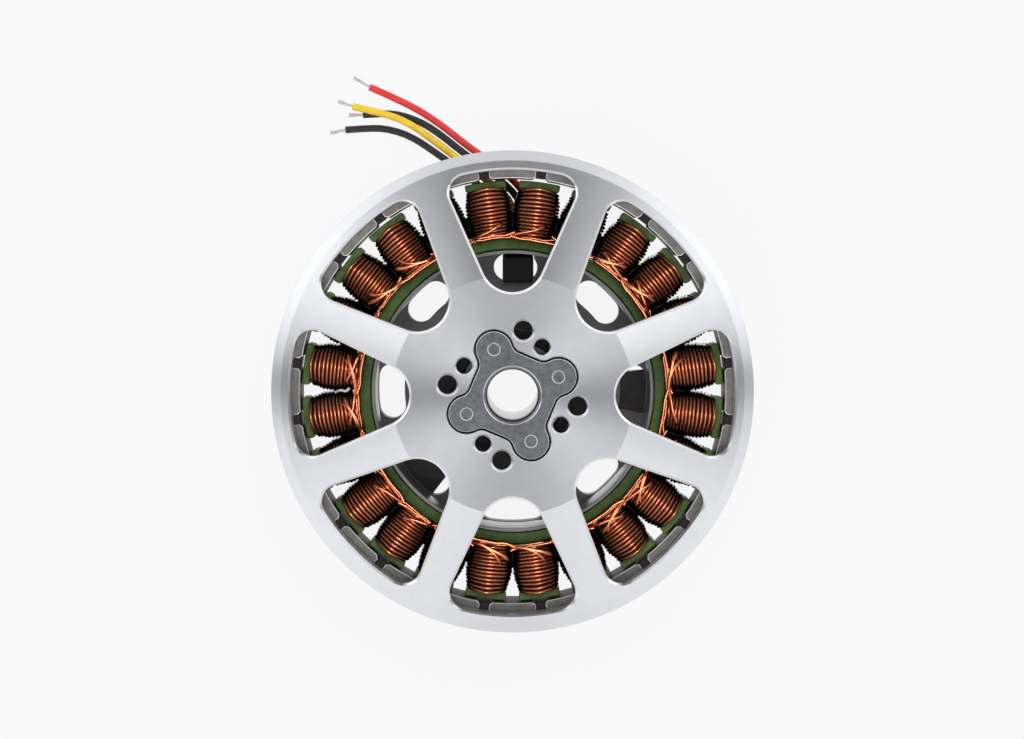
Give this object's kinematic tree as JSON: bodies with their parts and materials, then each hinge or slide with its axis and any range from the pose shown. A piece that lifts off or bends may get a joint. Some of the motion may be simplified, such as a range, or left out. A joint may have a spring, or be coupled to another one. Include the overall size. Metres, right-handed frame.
{
  "type": "outrunner motor",
  "caption": "Pancake outrunner motor: a spoked conical bell with magnets turns on a hollow shaft round a wound stator, with a lobed hub flange and free leads.",
  "frame": {"origin": "centre of the base's underside, on the axis of rotation, where the motor stands", "axes": "+Z along the axis of rotation, out of the hub's face; +Y towards the side where the leads leave"},
  "size_m": [0.112, 0.1305, 0.039],
  "materials": {
    "machined_aluminium": "turned, circular brushed",
    "flux_ring_steel": "turned, zinc plated",
    "nickel_magnet": "nickel plated neodymium, stained",
    "shaft_steel": "ground",
    "bearing_steel": "polished",
    "flange_steel": "brushed, dark",
    "dark_anodised_base": "dark anodised",
    "green_epoxy_coat": "epoxy coated laminations",
    "enamelled_copper": "enamelled copper wire",
    "black_sleeve_rubber": "moulded",
    "tinned_strands": "tinned",
    "red_insulation": "silicone rubber",
    "yellow_insulation": "silicone rubber",
    "black_insulation": "silicone rubber"
  },
  "bodies": {
    "stator": {"base_mount": "dark_anodised_base", "stator_core": "green_epoxy_coat", "winding_a": "enamelled_copper", "winding_b": "enamelled_copper", "winding_c": "enamelled_copper", "upper_bearing_outer_ring": "bearing_steel", "lower_bearing_outer_ring": "bearing_steel", "lead_sleeve": "black_sleeve_rubber", "lead_red": "red_insulation", "lead_yellow": "yellow_insulation", "lead_black_a": "black_insulation", "lead_black_b": "black_insulation", "lead_red_end": "tinned_strands", "lead_yellow_end": "tinned_strands", "lead_black_a_end": "tinned_strands", "lead_black_b_end": "tinned_strands"},
    "rotor": {"rotor_bell": "machined_aluminium", "flux_ring": "flux_ring_steel", "magnet_01": "nickel_magnet", "magnet_02": "nickel_magnet", "magnet_03": "nickel_magnet", "magnet_04": "nickel_magnet", "magnet_05": "nickel_magnet", "magnet_06": "nickel_magnet", "magnet_07": "nickel_magnet", "magnet_08": "nickel_magnet", "magnet_09": "nickel_magnet", "magnet_10": "nickel_magnet", "magnet_11": "nickel_magnet", "magnet_12": "nickel_magnet", "magnet_13": "nickel_magnet", "magnet_14": "nickel_magnet", "magnet_15": "nickel_magnet", "magnet_16": "nickel_magnet", "magnet_17": "nickel_magnet", "magnet_18": "nickel_magnet", "magnet_19": "nickel_magnet", "magnet_20": "nickel_magnet", "magnet_21": "nickel_magnet", "magnet_22": "nickel_magnet", "magnet_23": "nickel_magnet", "magnet_24": "nickel_magnet", "hollow_shaft": "shaft_steel", "shaft_flange": "flange_steel", "flange_pin_1": "flange_steel", "flange_pin_2": "flange_steel", "flange_pin_3": "flange_steel", "flange_pin_4": "flange_steel", "bearing_shim": "bearing_steel", "shaft_circlip": "bearing_steel", "upper_bearing_inner_ring": "bearing_steel", "lower_bearing_inner_ring": "bearing_steel"},
    "upper_balls": {"upper_bearing_balls": "bearing_steel"},
    "lower_balls": {"lower_bearing_balls": "bearing_steel"}
  },
  "joints": [
    {"name": "rotor_spin", "type": "hinge", "parent": "stator", "child": "rotor", "pos_m": [0, 0, 0], "axis": [0, 0, 1], "continuous": true},
    {"name": "upper_balls_spin", "type": "hinge", "parent": "stator", "child": "upper_balls", "pos_m": [0, 0, 0.0255], "axis": [0, 0, 1], "continuous": true},
    {"name": "lower_balls_spin", "type": "hinge", "parent": "stator", "child": "lower_balls", "pos_m": [0, 0, 0.0067], "axis": [0, 0, 1], "continuous": true}
  ],
  "couplings": [
    {"joint": "upper_balls_spin", "follows": "rotor_spin", "ratio": 0.4459},
    {"joint": "lower_balls_spin", "follows": "rotor_spin", "ratio": 0.4459}
  ]
}
